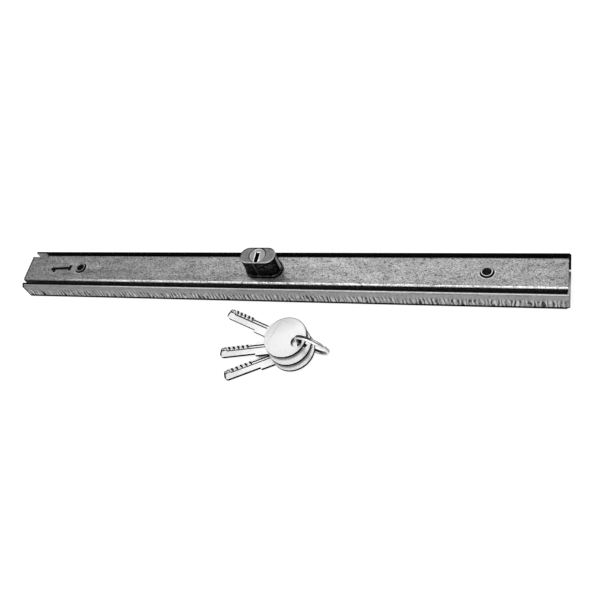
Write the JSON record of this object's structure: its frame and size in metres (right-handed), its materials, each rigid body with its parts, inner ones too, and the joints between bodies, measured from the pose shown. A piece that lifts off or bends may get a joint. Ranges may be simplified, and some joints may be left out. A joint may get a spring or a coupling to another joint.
{
  "type": "gate lock",
  "caption": "Side-acting gate lock: galvanised channel with a sliding rack-driven bolt, an oblong dimple-key cylinder and a ring of round-headed flat keys.",
  "frame": {"origin": "centre of the channel's back face, on the plug's axis, with the lock lying on the surface that it is screwed to", "axes": "+X along the channel, away from the end that the bolt comes out of; +Y across the channel, away from the keys; +Z out of the surface, towards the keyhole"},
  "size_m": [0.4531, 0.1046, 0.0409],
  "materials": {
    "galvanised_sheet": "hot-dip galvanised sheet with a fine mottled spangle",
    "zinc_steel": "bright zinc plated steel",
    "matt_nickel": "matt nickel plated, slightly mottled",
    "satin_nickel": "satin nickel plated",
    "pin_brass": "turned brass",
    "spring_steel": "plain spring steel",
    "key_nickel": "bright nickel plated",
    "ring_steel": "nickel plated spring wire"
  },
  "bodies": {
    "housing": {"housing_channel": "galvanised_sheet", "cover_strip": "galvanised_sheet", "fixing_sleeve_left": "zinc_steel", "fixing_sleeve_right": "zinc_steel", "bolt_guide_front": "galvanised_sheet", "bolt_guide_rear": "galvanised_sheet", "pinion_pivot": "zinc_steel", "cylinder_body": "matt_nickel", "cylinder_collar": "matt_nickel", "cylinder_strap": "galvanised_sheet", "strap_screws": "zinc_steel", "chamber_strip_right": "satin_nickel", "chamber_strip_left": "satin_nickel", "driver_pins_right": "zinc_steel", "driver_pins_left": "zinc_steel", "pin_springs_right": "spring_steel", "pin_springs_left": "spring_steel"},
    "bolt": {"bolt": "zinc_steel"},
    "rotor": {"plug": "satin_nickel", "plug_circlip": "spring_steel", "key_pins_right": "pin_brass", "key_pins_left": "pin_brass", "pinion": "zinc_steel"},
    "ring": {"key_ring": "ring_steel"},
    "key_1": {"key_1": "key_nickel"},
    "key_2": {"key_2": "key_nickel"},
    "key_3": {"key_3": "key_nickel"}
  },
  "joints": [
    {"name": "bolt_slide", "type": "slide", "parent": "housing", "child": "bolt", "axis": [-1, 0, 0], "range_m": [0, 0.0314]},
    {"name": "plug_turn", "type": "hinge", "parent": "housing", "child": "rotor", "pos_m": [0, 0, 0.02], "axis": [0, 0, 1], "range_deg": [0, 360]},
    {"name": "bunch_lift", "type": "slide", "parent": "housing", "child": "ring", "axis": [0, 0, 1], "range_m": [0, 0.08]},
    {"name": "key_1_swing", "type": "hinge", "parent": "ring", "child": "key_1", "pos_m": [0.03513, -0.05742, 0.00876], "axis": [-0.0545, -0.0242, 0.9982], "range_deg": [-10, 10]},
    {"name": "key_2_swing", "type": "hinge", "parent": "ring", "child": "key_2", "pos_m": [0.03946, -0.05686, 0.00646], "axis": [-0.0545, -0.0242, 0.9982], "range_deg": [-10, 10]},
    {"name": "key_3_swing", "type": "hinge", "parent": "ring", "child": "key_3", "pos_m": [0.0414, -0.0572, 0.004], "axis": [-0.0545, -0.0242, 0.9982], "range_deg": [-10, 10]}
  ],
  "couplings": [
    {"joint": "plug_turn", "follows": "bolt_slide", "rad_per_m": 200}
  ]
}
